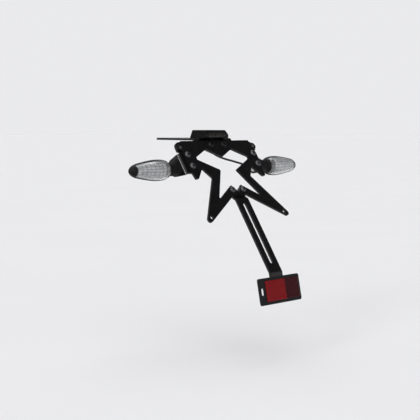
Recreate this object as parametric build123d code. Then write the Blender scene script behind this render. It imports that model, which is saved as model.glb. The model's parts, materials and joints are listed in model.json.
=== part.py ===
from build123d import *
from math import cos, radians, sin, tan
import os

# Number plate: two rows of fixing holes on a sloping plane
HOLE_SPAN_X = 150.0
HOLE_SPAN_V = 110.0
HOLE_D = 5.5
PLATE_TILT = 33.0

# Sheet thicknesses and the inner radius of every fold
STAR_SHEET = 3.0
BRACKET_SHEET = 3.0
ARM_SHEET = 3.0
FOLD_RADIUS = 2.0

# Tail flange: it lies under the tail with its bolt pattern round the origin
FLANGE_WIDTH = 76.0
FLANGE_BOLT_SPAN_X = 50.0
FLANGE_BOLT_SPAN_Y = 40.0
FLANGE_BOLT_D = 6.5
FLANGE_EDGE = 12.0
FLANGE_RADIUS = 8.0
PLATE_SETBACK = 58.0
PLATE_DROP = 11.5

# Star plate outline, x to the side and v down the slope from the top holes
TOP_MARGIN = 9.7
STAR_HALF_WIDTH = 73.7
SIDE_BOTTOM = 38.0
SPUR_INSET = 4.9
SPUR_TIP = 50.3
SPUR_WIDTH = 5.4
NOTCH_X = 51.0
NOTCH_TOP = 34.4
CROTCH_X = 39.2
CROTCH_V = 50.0
TIP_OUT = 19.3
TIP_DOWN = 16.6
TIP_RADIUS = 4.3
LAP_HALF_WIDTH = 14.5
LAP_MARGIN = 9.4
CORNER_RADIUS = 1.2

# Star opening
APEX_V = 17.0
OPEN_TOP_X = 26.5
OPEN_TOP_V = 4.0
OPEN_SIDE_INSET = 16.8
OPEN_SIDE_V = 18.7
OPEN_SIDE_RADIUS = 2.8
SHOULDER_X = 16.3
SHOULDER_V = 38.2
SHOULDER_RADIUS = 2.0
INNER_TIP_X = 45.9
INNER_TIP_V = 84.6
PEAK_X = 9.8
PEAK_RISE = 7.3
VALLEY_DROP = 4.1

# Bracket face behind the star plate, and its folded indicator wings
EAR_MARGIN = 5.2
EAR_RADIUS = 9.0
EAR_BOTTOM = 5.4
FACE_INSET = 2.6
WING_STANDOFF = 8.2
WING_TOP = 8.2
WING_BOTTOM = 39.5
WING_DEPTH = 29.0
WING_RISE = 8.5
WING_RADIUS = 9.0
SPACER_D = 10.4
SPACER_CLEARANCE = 0.4

# Reflector arm
ARM_WIDTH = 25.0
ARM_EAR_RADIUS = 5.3
ARM_NOTCH_DROP = 6.7
JOGGLE_CLEARANCE = 0.8
SLOT_WIDTH = 6.2
SLOT_START = 6.5
SLOT_END = 13.4
ARM_BEND_V = 200.4
ARM_BEND = 21.4
TAB_LENGTH = 34.8
TAB_FLAT = 2.0
TAB_HOLE_EDGE = 11.0

# Reflector
REFLECTOR_WIDTH = 84.4
REFLECTOR_HEIGHT = 36.2
REFLECTOR_BASE = 3.0
REFLECTOR_RADIUS = 3.0
REFLECTOR_FRAME = 4.0
REFLECTOR_LENS = 2.4
REFLECTOR_LENS_PROUD = 1.2
REFLECTOR_SLOT_WIDTH = 6.4
REFLECTOR_SLOT_HEIGHT = 11.0
REFLECTOR_SLOT_EDGE = 6.4
LENS_START = 12.4
LENS_CLEARANCE = 0.15
REFLECTOR_EDGE = 0.6
STUD_PLATE = 1.0

# Button-head bolts of the sheet joints
BOLT_D = 5.0
BOLT_CLEARANCE = 0.5
BOLT_HEAD_D = 9.5
BOLT_HEAD_H = 2.75
BOLT_HEAD_FLAT = 4.75
BOLT_DOME_RADIUS = 3.33
BOLT_SOCKET = 3.0
BOLT_SOCKET_DEPTH = 1.5
BOLT_END = 1.5
NUT_ACROSS = 8.0
NUT_H = 4.0
SIDE_BOLT_EDGE = 6.2
SIDE_BOLT_TOP = 12.4
SIDE_BOLT_PITCH = 17.8
TOP_BOLT_X = 13.0
TOP_BOLT_V = -3.3
ARM_BOLT_X = 10.9
ARM_BOLT_RISE = 39.7
WASHER_H = 1.0
WASHER_D = 10.0

# Indicator stem, stud and their place on the wing
STEM_V = 26.0
STEM_W = -15.5
STEM_LENGTH = 18.5
STEM_D = 17.4
STEM_FOOT_V = 22.0
STEM_FOOT_W = 17.0
STEM_FOOT_LIFT = 2.5
STEM_FOOT_RADIUS = 6.0
STEM_FOOT_LIP = 2.0
STEM_NECK = 12.0
STUD_D = 8.0
STUD_BORE = 4.0
STUD_CLEARANCE = 0.4
STUD_NUT_ACROSS = 13.0
STUD_NUT_H = 5.0
STUD_WASHER_D = 14.4
STUD_WASHER_H = 1.4
STUD_END = 1.6
STUD_COLLAR = 2.0
STUD_COLLAR_D = 12.0

# Indicator body: an egg along the stem's line, split into housing and lens
BODY_LENGTH = 70.5
BODY_HALF_HEIGHT = 14.3
BODY_INNER_RADIUS = 9.0
BODY_WIDEST = 21.0
BODY_WAIST = 50.0
BODY_WAIST_RADIUS = 10.9
BODY_FLARE = 0.9
BODY_NOSE_RISE = 0.55
BODY_WALL = 2.0
END_WALL = 3.0
NOSE_LENGTH = 9.0
SPLIT_REAR = 2.0
LENS_INSET = 0.6
LINING_GAP = 0.3
LINING_WALL = 0.8
HOLDER_D = 12.0
HOLDER_LENGTH = 8.0
BULB_D = 10.0
BULB_LENGTH = 26.0
BULB_CAP = 7.0
BULB_CAP_D = 8.4
LUG_LENGTH = 6.0
LUG_RISE = 1.8
LENS_SCREW_D = 2.2
LENS_SCREW_HEAD_D = 3.6
LENS_SCREW_HEAD_H = 1.4
LENS_SCREW_SEAT = 1.8
LENS_SCREW_DEPTH = 5.0

# Number-plate lamp, standing on the flange behind the tail
LAMP_BOTTOM_WIDTH = 50.0
LAMP_TOP_WIDTH = 40.0
LAMP_HEIGHT = 11.4
LAMP_REAR = -2.0
LAMP_REAR_TOP = 5.0
LAMP_FRONT = 31.0
LAMP_WALL = 2.2
LAMP_EDGE = 1.2
LAMP_LENS_WIDTH = 32.0
LAMP_LENS_RISE = 9.0
LAMP_LENS_UNDER = 12.0
LAMP_RIBS = 4
LAMP_RIB_PITCH = 7.4
LAMP_RIB_WIDTH = 2.0
LAMP_RIB_PROUD = 0.7
LAMP_SCREW_X = 16.5
LAMP_SCREW_D = 4.0
LAMP_SCREW_CLEARANCE = 0.4
LAMP_SCREW_HEAD_D = 7.5
LAMP_SCREW_HEAD_H = 2.4
LAMP_SCREW_LENGTH = 8.0
LAMP_BOSS_D = 8.0
LAMP_HOLDER_WIDTH = 13.0
LAMP_HOLDER_DEPTH = 9.0
LAMP_HOLDER_LIFT = 2.4
LAMP_BULB_D = 6.0
LAMP_BULB_LENGTH = 11.0
LAMP_BULB_ROUND = 2.7
LAMP_FIXING_Y = 22.0

# Right indicator lead and the grommet that takes it through the flange
LEAD_D = 3.0
LEAD_X = -5.0
LEAD_WAY = [(57.0, -57.8, -38.8), (38.0, -54.4, -33.7), (16.0, -51.0, -28.6), (3.0, -47.2, -22.8)]
LEAD_TURN_UP = -10.5
LEAD_BEND_SHARE = 0.45
GROMMET_HOLE_D = 8.0
GROMMET_LIP_D = 11.0
GROMMET_LIP = 1.4
GROMMET_CLEARANCE = 0.1
INLET_CLEARANCE = 0.5

# Frame: v runs down the number plate, w stands off its rear face
tilt = radians(PLATE_TILT)
down = Vector(0, -sin(tilt), -cos(tilt))
outward = Vector(0, -cos(tilt), sin(tilt))
plate_origin = Vector(0, -PLATE_SETBACK, -PLATE_DROP)
face_plane = Plane(origin=plate_origin, x_dir=(1, 0, 0), z_dir=outward)
side_plane = Plane(origin=plate_origin, x_dir=down, z_dir=(-1, 0, 0))
hole_x = HOLE_SPAN_X / 2
spur_x = STAR_HALF_WIDTH - SPUR_INSET
arm_bolt_v = HOLE_SPAN_V - ARM_BOLT_RISE
open_side_x = STAR_HALF_WIDTH - OPEN_SIDE_INSET
wing_x = STAR_HALF_WIDTH + WING_STANDOFF
bolt_hole_d = BOLT_D + BOLT_CLEARANCE
stud_hole_d = STUD_D + STUD_CLEARANCE
sheet_back = -(STAR_SHEET + BRACKET_SHEET)
seat = (Align.CENTER, Align.CENTER, Align.MIN)


def on_plate(x, v, w=0.0):
    """A point in the model frame from its place on the number plate."""
    return plate_origin + Vector(x, 0, 0) + down * v + outward * w


def plate_face(*points):
    """A flat face in plate coordinates, given as (x, v) corners."""
    return make_face(Polyline(*[(x, -v) for x, v in points], close=True))


def both_sides(half):
    """A half outline joined to its mirror image about the middle."""
    return half + mirror(half, about=Plane.YZ)


def corner(face, x, v):
    """The vertex of a face that lies nearest a plate point."""
    return face.vertices().sort_by_distance(Vector(x, -v, 0))[0]


def round_corners(face, radius, *points):
    """A face with its corners at the plate points, and their mirror images, rounded."""
    spots = [(x, v) for x, v in points] + [(-x, v) for x, v in points if x]
    return fillet([corner(face, x, v) for x, v in spots], radius)


def sheet_from(face, top, thickness):
    """A plate-coordinate face made a sheet whose rear face stands at w = top."""
    return extrude(face_plane.offset(top) * face, amount=-thickness)


def round_holes(points, diameter, top, depth):
    """Round bars square to the number plate, to cut holes with."""
    dots = Sketch() + [Pos(x, -v) * Circle(diameter / 2) for x, v in points]
    return sheet_from(dots, top, depth)


def strip(points, thickness):
    """The section of a folded sheet: its skin follows the points and its body lies to their right."""
    skin = [Vector(*p) for p in points]
    runs = [(b - a).normalized() for a, b in zip(skin, skin[1:])]
    sides = [Vector(run.Y, -run.X) for run in runs]
    inside = [skin[0] + sides[0] * thickness]
    skin_radii = []
    inside_radii = []
    for place, run, next_run, side, next_side in zip(skin[1:], runs, runs[1:], sides, sides[1:]):
        inside.append(place + (side + next_side) * (thickness / (1 + side.dot(next_side))))
        folds_right = run.cross(next_run).Z < 0
        skin_radii.append(FOLD_RADIUS + thickness if folds_right else FOLD_RADIUS)
        inside_radii.append(FOLD_RADIUS if folds_right else FOLD_RADIUS + thickness)
    inside.append(skin[-1] + sides[-1] * thickness)
    outer = FilletPolyline(*skin, radius=skin_radii)
    inner = FilletPolyline(*inside, radius=inside_radii)
    return make_face([*outer.edges(), Line(skin[-1], inside[-1]), *inner.edges(), Line(inside[0], skin[0])])


def hexagon(across, height):
    """A hexagonal bar standing on the local origin."""
    return extrude(RegularPolygon(across / 2, 6, major_radius=False), height)


def ring(outer_d, inner_d, height):
    """A flat ring standing on the local origin."""
    return extrude(Circle(outer_d / 2) - Circle(inner_d / 2), height)


def button_bolt(grip):
    """A button-head bolt with its head on the local origin and its shank below."""
    rise = BOLT_HEAD_H
    edge = BOLT_HEAD_D / 2
    flat = BOLT_HEAD_FLAT / 2
    dome = make_face([
        Line((0, 0), (edge, 0)),
        RadiusArc((edge, 0), (flat, rise), -BOLT_DOME_RADIUS),
        Line((flat, rise), (0, rise)),
        Line((0, rise), (0, 0)),
    ])
    head = revolve(Plane.XZ * dome, Axis.Z)
    socket = Pos(0, 0, rise - BOLT_SOCKET_DEPTH) * hexagon(BOLT_SOCKET, rise)
    shank = Pos(0, 0, -grip) * Cylinder(BOLT_D / 2, grip, align=seat)
    return head + shank - socket


def at_points(piece, points, w):
    """Copies of a piece square to the number plate, one at each plate point."""
    return [face_plane.offset(w).location * Pos(x, -v, 0) * piece for x, v in points]


def nut(across, height, bore):
    """A plain hexagon nut standing on the local origin."""
    return hexagon(across, height) - Cylinder(bore / 2, height * 3)


def save(name, *solids):
    """Write one node, a single solid or a group of like ones."""
    shape = solids[0] if len(solids) == 1 else Compound(children=[*solids])
    export_step(shape, f"parts/{name}.step")


os.makedirs("parts", exist_ok=True)

# Fastener places in plate coordinates
sides = (-1, 1)
side_bolt_x = STAR_HALF_WIDTH - SIDE_BOLT_EDGE
side_bolts = [(s * side_bolt_x, SIDE_BOLT_TOP + row * SIDE_BOLT_PITCH) for s in sides for row in (0, 1)]
top_bolts = [(s * TOP_BOLT_X, TOP_BOLT_V) for s in sides]
arm_bolts = [(s * ARM_BOLT_X, arm_bolt_v) for s in sides]
top_holes = [(s * hole_x, 0.0) for s in sides]
low_holes = [(s * hole_x, HOLE_SPAN_V) for s in sides]

# Star plate: a flat sheet cut to a star, with room left round the top spacers
relief_r = SPACER_D / 2 + SPACER_CLEARANCE
relief_x = hole_x - relief_r
tip = (hole_x + TIP_OUT, HOLE_SPAN_V + TIP_DOWN)
spur_out = (spur_x + SPUR_WIDTH / 2, SPUR_TIP)
spur_in = (spur_x - SPUR_WIDTH / 2, SPUR_TIP)
notch = (NOTCH_X, NOTCH_TOP)
crotch = (CROTCH_X, CROTCH_V)
lap_bottom = arm_bolt_v + LAP_MARGIN
star_half = plate_face(
    (0, -TOP_MARGIN), (relief_x, -TOP_MARGIN), (relief_x, 0), (STAR_HALF_WIDTH, 0),
    (STAR_HALF_WIDTH, SIDE_BOTTOM), spur_out, spur_in, notch, crotch, tip,
    (LAP_HALF_WIDTH, lap_bottom), (0, lap_bottom),
)
star_face = both_sides(star_half)
star_face = round_corners(star_face, TIP_RADIUS, tip)
star_face = round_corners(star_face, CORNER_RADIUS, spur_out, spur_in, notch, crotch)
apex = (0, APEX_V)
open_top = (OPEN_TOP_X, OPEN_TOP_V)
open_side = (open_side_x, OPEN_SIDE_V)
shoulder = (SHOULDER_X, SHOULDER_V)
inner_tip = (INNER_TIP_X, INNER_TIP_V)
peak = (PEAK_X, arm_bolt_v - PEAK_RISE)
valley = (0, arm_bolt_v + VALLEY_DROP)
opening = both_sides(plate_face(apex, open_top, open_side, shoulder, inner_tip, peak, valley))
opening = round_corners(opening, OPEN_SIDE_RADIUS, open_side)
opening = round_corners(opening, SHOULDER_RADIUS, shoulder)
opening = round_corners(opening, CORNER_RADIUS, apex, open_top, inner_tip, peak, valley)
star_plate = sheet_from(star_face - opening, 0, STAR_SHEET)
star_plate -= round_holes(top_holes, relief_r * 2, 0, STAR_SHEET)
star_plate -= round_holes(low_holes, HOLE_D, 0, STAR_SHEET)
star_plate -= round_holes(side_bolts + top_bolts + arm_bolts, bolt_hole_d, 0, STAR_SHEET)
save("star_plate", star_plate)

# Tail bracket: flange, sloping face and two wings, folded from one sheet
face_top = -STAR_SHEET
fold_outer = FOLD_RADIUS + BRACKET_SHEET
wing_fold_x = wing_x - fold_outer
ear_x = hole_x + EAR_MARGIN
flange_v = (face_top * sin(tilt) - PLATE_DROP) / cos(tilt)
skin_y = -flange_v * sin(tilt) - face_top * cos(tilt)
flange_run = PLATE_SETBACK - skin_y + FLANGE_BOLT_SPAN_Y / 2 + FLANGE_EDGE
band_side_x = open_side_x + FACE_INSET / 2
face_half = plate_face(
    (0, -TOP_MARGIN), (ear_x, -TOP_MARGIN), (ear_x, EAR_BOTTOM), (wing_fold_x, EAR_BOTTOM),
    (wing_fold_x, WING_BOTTOM), (spur_x - SPUR_WIDTH, WING_BOTTOM), (band_side_x, SHOULDER_V - FACE_INSET),
    (band_side_x, OPEN_SIDE_V - FACE_INSET), (OPEN_TOP_X, OPEN_TOP_V - FACE_INSET), (0, APEX_V - FACE_INSET),
)
bracket_face = round_corners(both_sides(face_half), EAR_RADIUS, (ear_x, -TOP_MARGIN))
tail_bracket = sheet_from(bracket_face, face_top, BRACKET_SHEET)
forward = Vector(-sin(tilt), -cos(tilt))
flange_fold = Vector(flange_v, face_top)
flange_skin = [flange_fold + forward * flange_run, flange_fold, (-TOP_MARGIN, face_top)]
flange_strip = strip(flange_skin, BRACKET_SHEET)
flange = extrude(side_plane * flange_strip, FLANGE_WIDTH / 2, both=True)
flange = fillet(flange.edges().filter_by(Axis.Z).group_by(Axis.Y)[-1], FLANGE_RADIUS)
wing_plane = Plane(origin=on_plate(0, WING_TOP), x_dir=(1, 0, 0), z_dir=down)
wing_strip = strip([(STAR_HALF_WIDTH, face_top), (wing_x, face_top), (wing_x, -WING_DEPTH)], BRACKET_SHEET)
wing = extrude(wing_plane * wing_strip, WING_BOTTOM - WING_TOP)
wing_cut = make_face(Polyline(
    (WING_BOTTOM, face_top - fold_outer), (WING_BOTTOM - WING_RISE, -WING_DEPTH),
    (WING_BOTTOM, -WING_DEPTH), close=True,
))
wing -= extrude(side_plane * wing_cut, wing_x, both=True)
wing = fillet(wing.edges().filter_by(Axis.X).sort_by(Axis(plate_origin, outward))[:2], WING_RADIUS)
stem_plane = Plane(origin=on_plate(wing_x, STEM_V, STEM_W), x_dir=(0, -1, 0), z_dir=(1, 0, 0))
wing -= stem_plane * Cylinder(stud_hole_d / 2, fold_outer * 2)
tail_bracket += flange + wing + mirror(wing, about=Plane.YZ)
tail_bracket -= round_holes(top_holes, HOLE_D, face_top, BRACKET_SHEET)
tail_bracket -= round_holes(side_bolts + top_bolts, bolt_hole_d, face_top, BRACKET_SHEET)
lamp_y = LAMP_FIXING_Y - PLATE_SETBACK
tail_hole = Circle(FLANGE_BOLT_D / 2)
lamp_screw_hole = Circle((LAMP_SCREW_D + LAMP_SCREW_CLEARANCE) / 2)
flange_drills = [
    Pos(i * FLANGE_BOLT_SPAN_X / 2, j * FLANGE_BOLT_SPAN_Y / 2) * tail_hole for i in sides for j in sides
]
flange_drills += [Pos(i * LAMP_SCREW_X, lamp_y) * lamp_screw_hole for i in sides]
flange_drills += [Pos(LEAD_X, lamp_y) * Circle(GROMMET_HOLE_D / 2)]
tail_bracket -= extrude(Sketch() + flange_drills, -BRACKET_SHEET)
save("tail_bracket", tail_bracket)

# Spacers that bring the top holes level with the star plate
spacer = ring(SPACER_D, HOLE_D, STAR_SHEET)
save("plate_spacers", *at_points(spacer, top_holes, face_top))

# Bolts and nuts of the sheet joints
joint_bolt = button_bolt(-sheet_back + NUT_H + BOLT_END)
joint_nut = Pos(0, 0, -NUT_H) * nut(NUT_ACROSS, NUT_H, BOLT_D)
save("side_bolts", *at_points(joint_bolt, side_bolts, 0))
save("side_nuts", *at_points(joint_nut, side_bolts, sheet_back))
save("top_bolts", *at_points(joint_bolt, top_bolts, 0))
save("top_nuts", *at_points(joint_nut, top_bolts, sheet_back))
arm_back = -(STAR_SHEET + ARM_SHEET)
arm_bolt = button_bolt(-arm_back + NUT_H + BOLT_END)
save("arm_bolts", *at_points(arm_bolt, arm_bolts, 0))
save("arm_nuts", *at_points(joint_nut, arm_bolts, arm_back))

# Reflector arm: lapped behind the star, joggled flush with it, slotted and bent at its foot
bend = radians(ARM_BEND)
tab_down = down * cos(bend) - outward * sin(bend)
tab_out = outward * cos(bend) + down * sin(bend)
tab_end = (ARM_BEND_V + TAB_LENGTH * cos(bend), -TAB_LENGTH * sin(bend))
head_half = ARM_BOLT_X + ARM_EAR_RADIUS
head_top = arm_bolt_v - ARM_EAR_RADIUS
joggle_start = lap_bottom + JOGGLE_CLEARANCE
joggle_end = joggle_start + STAR_SHEET + FOLD_RADIUS
arm_skin = [
    (head_top, face_top), (joggle_start, face_top), (joggle_end, 0), (ARM_BEND_V, 0), tab_end,
]
arm_strip = strip(arm_skin, ARM_SHEET)
arm = extrude(side_plane * arm_strip, head_half, both=True)
arm_outline = both_sides(plate_face(
    (0, arm_bolt_v + ARM_NOTCH_DROP), (ARM_BOLT_X - ARM_EAR_RADIUS, arm_bolt_v), (head_half, arm_bolt_v),
    (ARM_WIDTH / 2, joggle_start), (ARM_WIDTH / 2, ARM_BEND_V + TAB_LENGTH), (0, ARM_BEND_V + TAB_LENGTH),
))
arm_outline += [Pos(x, -v) * Circle(ARM_EAR_RADIUS) for x, v in arm_bolts]
arm &= sheet_from(arm_outline, ARM_SHEET, TAB_LENGTH)
arm = fillet(arm.edges().filter_by(Axis((0, 0, 0), tab_out)), ARM_WIDTH / 2 - TAB_FLAT)
slot_top = joggle_end + SLOT_START
slot_bottom = ARM_BEND_V - SLOT_END
slot = Pos(0, -(slot_top + slot_bottom) / 2) * SlotOverall(slot_bottom - slot_top, SLOT_WIDTH, rotation=90)
arm -= sheet_from(slot, ARM_SHEET, ARM_SHEET * 3)
arm -= round_holes(arm_bolts, bolt_hole_d, face_top, ARM_SHEET)
reflector_middle = on_plate(0, ARM_BEND_V) + tab_down * (TAB_LENGTH - TAB_HOLE_EDGE)
reflector_plane = Plane(origin=reflector_middle, x_dir=(1, 0, 0), z_dir=tab_out)
arm -= reflector_plane * Cylinder(bolt_hole_d / 2, ARM_SHEET * 3)
save("reflector_arm", arm)

# Reflector: a framed base with a slot at one end, a red lens let into it and a captive stud
lens_width = REFLECTOR_WIDTH - LENS_START - REFLECTOR_FRAME
lens_height = REFLECTOR_HEIGHT - 2 * REFLECTOR_FRAME
lens_x = (LENS_START - REFLECTOR_FRAME) / 2
lens_floor = REFLECTOR_BASE + REFLECTOR_LENS_PROUD - REFLECTOR_LENS
base = extrude(RectangleRounded(REFLECTOR_WIDTH, REFLECTOR_HEIGHT, REFLECTOR_RADIUS), REFLECTOR_BASE)
base = chamfer(base.faces().sort_by(Axis.Z)[-1].edges(), REFLECTOR_EDGE)
base -= Pos(lens_x, 0, lens_floor) * extrude(Rectangle(lens_width, lens_height), REFLECTOR_BASE)
slot_x = REFLECTOR_SLOT_EDGE - REFLECTOR_WIDTH / 2
end_slot = SlotOverall(REFLECTOR_SLOT_HEIGHT, REFLECTOR_SLOT_WIDTH, rotation=90)
base -= Pos(slot_x, 0, 0) * extrude(end_slot, REFLECTOR_BASE)
base -= Pos(0, 0, lens_floor - STUD_PLATE) * Cylinder(WASHER_D / 2, STUD_PLATE * 2, align=seat)
base -= Cylinder(bolt_hole_d / 2, REFLECTOR_BASE * 2)
save("reflector_base", reflector_plane * base)
lens = extrude(Rectangle(lens_width - 2 * LENS_CLEARANCE, lens_height - 2 * LENS_CLEARANCE), REFLECTOR_LENS)
lens = chamfer(lens.faces().sort_by(Axis.Z)[-1].edges(), REFLECTOR_EDGE)
save("reflector_lens", reflector_plane * Pos(lens_x, 0, lens_floor) * lens)
stud_length = lens_floor + ARM_SHEET + WASHER_H + NUT_H + BOLT_END
stud = Pos(0, 0, lens_floor - STUD_PLATE) * Cylinder(WASHER_D / 2 - LENS_CLEARANCE, STUD_PLATE, align=seat)
stud += Pos(0, 0, lens_floor - stud_length) * Cylinder(BOLT_D / 2, stud_length, align=seat)
save("reflector_stud", reflector_plane * stud)
washer_level = -(ARM_SHEET + WASHER_H)
save("reflector_washer", reflector_plane * Pos(0, 0, washer_level) * ring(WASHER_D, bolt_hole_d, WASHER_H))
save("reflector_nut", reflector_plane * Pos(0, 0, washer_level) * joint_nut)

# Indicator body: one egg form, hollowed and split in different ways
def egg(inset):
    """The indicator's solid form along local Z from its inner end, drawn in by an inset."""
    line = Spline(
        (BODY_INNER_RADIUS - inset, 0), (BODY_HALF_HEIGHT - inset, BODY_WIDEST),
        (BODY_WAIST_RADIUS - inset, BODY_WAIST), (0, BODY_LENGTH - inset),
        tangents=[(BODY_FLARE, 1), (-1, BODY_NOSE_RISE)],
    )
    axis_line = Line((0, BODY_LENGTH - inset), (0, 0))
    shape = make_face([line, axis_line, Line((0, 0), (BODY_INNER_RADIUS - inset, 0))])
    return revolve(Plane.XZ * shape, Axis.Z)


def block(x, y, z):
    """A box between pairs of limits along the indicator's rear, down and out axes."""
    size = [high - low for low, high in (x, y, z)]
    return Pos(x[0], y[0], z[0]) * Box(*size, align=(Align.MIN, Align.MIN, Align.MIN))


reach = BODY_HALF_HEIGHT * 2
room = (-reach, reach)
hollow = (END_WALL, BODY_LENGTH - NOSE_LENGTH)
lug = (END_WALL, END_WALL + LUG_LENGTH)
front_half = block((-reach, SPLIT_REAR), room, hollow)
rear_half = block((SPLIT_REAR, reach), room, hollow)
screw_line = Pos(SPLIT_REAR, BODY_INNER_RADIUS, END_WALL + LUG_LENGTH / 2) * Rot(0, 90, 0)
screw_shank = screw_line * Pos(0, 0, -LENS_SCREW_DEPTH) * Cylinder(
    LENS_SCREW_D / 2, LENS_SCREW_DEPTH + LENS_SCREW_SEAT, align=seat
)
screw_head = screw_line * Pos(0, 0, LENS_SCREW_SEAT) * Cylinder(
    LENS_SCREW_HEAD_D / 2, LENS_SCREW_HEAD_H, align=seat
)
counterbore = screw_line * Pos(0, 0, LENS_SCREW_SEAT) * Cylinder(
    LENS_SCREW_HEAD_D / 2 + LENS_CLEARANCE, BODY_HALF_HEIGHT, align=seat
)
shank_hole = screw_line * Cylinder(LENS_SCREW_D / 2 + LENS_CLEARANCE, BODY_HALF_HEIGHT)
bottom_lug = block(room, (BODY_INNER_RADIUS - LUG_RISE, reach), lug)
housing = egg(0) - rear_half - (egg(BODY_WALL) & front_half)
housing += egg(BODY_WALL / 2) & bottom_lug & block((-LENS_SCREW_DEPTH - BODY_WALL, SPLIT_REAR), room, lug)
housing -= shank_hole + Cylinder(stud_hole_d / 2, END_WALL * 3)
indicator_lens = (egg(LENS_INSET) - egg(LENS_INSET + BODY_WALL)) & rear_half
indicator_lens += egg(LENS_INSET) & bottom_lug & rear_half
indicator_lens -= shank_hole + counterbore
lining_room = block((-reach, SPLIT_REAR - LINING_WALL), room, (lug[1] + LINING_WALL, hollow[1] - LINING_WALL))
lining_inset = BODY_WALL + LINING_GAP
lining = (egg(lining_inset) - egg(lining_inset + LINING_WALL)) & lining_room
collar_top = END_WALL + STUD_COLLAR
holder = Pos(0, 0, collar_top) * Cylinder(HOLDER_D / 2, HOLDER_LENGTH, align=seat)
bulb_start = collar_top + HOLDER_LENGTH
glass_r = BULB_D / 2
cap_r = BULB_CAP_D / 2
bulb_line = make_face([
    Line((0, 0), (cap_r, 0)),
    Line((cap_r, 0), (cap_r, BULB_CAP)),
    Line((cap_r, BULB_CAP), (glass_r, BULB_CAP + glass_r / 2)),
    Line((glass_r, BULB_CAP + glass_r / 2), (glass_r, BULB_LENGTH - glass_r)),
    RadiusArc((glass_r, BULB_LENGTH - glass_r), (0, BULB_LENGTH), -glass_r),
    Line((0, BULB_LENGTH), (0, 0)),
])
bulb = Pos(0, 0, bulb_start) * revolve(Plane.XZ * bulb_line, Axis.Z)

# Rubber stem: a foot shaped to the wing that draws in to a round neck, on a hollow stud
foot = Pos(-STEM_FOOT_LIFT, 0) * RectangleRounded(STEM_FOOT_V, STEM_FOOT_W, STEM_FOOT_RADIUS)
foot = Rot(0, 0, 90 - PLATE_TILT) * foot
neck = Pos(0, 0, STEM_NECK) * Circle(STEM_D / 2)
stem = extrude(foot, STEM_FOOT_LIP) + loft([Pos(0, 0, STEM_FOOT_LIP) * foot, neck])
stem += extrude(neck, STEM_LENGTH - STEM_NECK)
stem -= Cylinder(stud_hole_d / 2, STEM_LENGTH * 3)
washer_base = -(BRACKET_SHEET + STUD_WASHER_H)
nut_base = washer_base - STUD_NUT_H
stud_base = nut_base - STUD_END
stud_tube = Pos(0, 0, stud_base) * ring(STUD_D, STUD_BORE, STEM_LENGTH + collar_top - stud_base)
stud_tube += Pos(0, 0, STEM_LENGTH + END_WALL) * ring(STUD_COLLAR_D, STUD_BORE, STUD_COLLAR)

# Every indicator piece is made for the right and mirrored for the left
body_place = stem_plane.location * Pos(0, 0, STEM_LENGTH)
stem_place = stem_plane.location
indicator = {
    "indicator_housing": body_place * housing,
    "indicator_lens": body_place * indicator_lens,
    "indicator_lining": body_place * lining,
    "indicator_bulb_holder": body_place * holder,
    "indicator_bulb": body_place * bulb,
    "indicator_lens_screw": body_place * (screw_shank + screw_head),
    "indicator_stem": stem_place * stem,
    "indicator_stud": stem_place * stud_tube,
    "indicator_washer": stem_place * Pos(0, 0, washer_base) * ring(STUD_WASHER_D, stud_hole_d, STUD_WASHER_H),
    "indicator_nut": stem_place * Pos(0, 0, nut_base) * nut(STUD_NUT_ACROSS, STUD_NUT_H, STUD_D),
}
for name, piece in indicator.items():
    save(f"right_{name}", piece)
    save(f"left_{name}", mirror(piece, about=Plane.YZ))

# Number-plate lamp: a tapered hood with a lens wrapped round its lower rear edge
lamp_rear = LAMP_REAR - PLATE_SETBACK
lamp_rear_top = LAMP_REAR_TOP - PLATE_SETBACK
lamp_front = LAMP_FRONT - PLATE_SETBACK
rear_slope = Vector(lamp_rear_top - lamp_rear, LAMP_HEIGHT).normalized()
lamp_section = make_face(Polyline(
    (lamp_rear, 0), (lamp_front, 0), (lamp_front, LAMP_HEIGHT), (lamp_rear_top, LAMP_HEIGHT), close=True
))
rear_corner = lamp_section.vertices().sort_by_distance(Vector(lamp_rear, 0, 0))[0]
lamp_section = fillet(rear_corner, FOLD_RADIUS + LAMP_WALL)


def lamp_form(section, inset):
    """The lamp's tapered solid from a side section, its ends drawn in by an inset."""
    low = LAMP_BOTTOM_WIDTH / 2 - inset
    high = LAMP_TOP_WIDTH / 2 - inset
    end = make_face(Polyline((-low, 0), (low, 0), (high, LAMP_HEIGHT), (-high, LAMP_HEIGHT), close=True))
    slab = extrude(Plane.YZ * section, LAMP_BOTTOM_WIDTH, both=True)
    return slab & extrude(Plane.XZ * end, PLATE_SETBACK * 2, both=True)


def lens_strip(width, extra):
    """The wrapped lens, or the window for it when its ends are drawn out by an extra."""
    skin = [
        (lamp_rear + LAMP_LENS_UNDER + extra, 0),
        (lamp_rear, 0),
        Vector(lamp_rear, 0) + rear_slope * (LAMP_LENS_RISE + extra),
    ]
    return extrude(Plane.YZ * strip(skin, LAMP_WALL), width / 2 + extra, both=True)


lamp_places = [Pos(i * LAMP_SCREW_X, lamp_y) for i in sides]
lamp_boss = extrude(Sketch() + [place * Circle(LAMP_BOSS_D / 2) for place in lamp_places], LAMP_HEIGHT)
lamp_pilot = extrude(Sketch() + [spot * Circle(LAMP_SCREW_D / 2) for spot in lamp_places], LAMP_SCREW_LENGTH)
lamp_housing = lamp_form(lamp_section, 0)
lamp_cavity = lamp_form(offset(lamp_section, -LAMP_WALL), LAMP_WALL) - lamp_boss
lamp_housing = fillet(lamp_housing.faces().sort_by(Axis.Z)[-1].edges(), LAMP_EDGE) - lamp_cavity
lamp_housing -= lens_strip(LAMP_LENS_WIDTH, LENS_CLEARANCE) + lamp_pilot
lamp_housing -= Pos(LEAD_X, lamp_y) * Cylinder(GROMMET_LIP_D / 2 + INLET_CLEARANCE, LAMP_WALL * 2)
save("lamp_housing", lamp_housing)
rear_normal = Vector(0, -rear_slope.Y, rear_slope.X)
rear_plane = Plane(origin=(0, lamp_rear, 0), x_dir=(1, 0, 0), z_dir=rear_normal)
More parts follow.
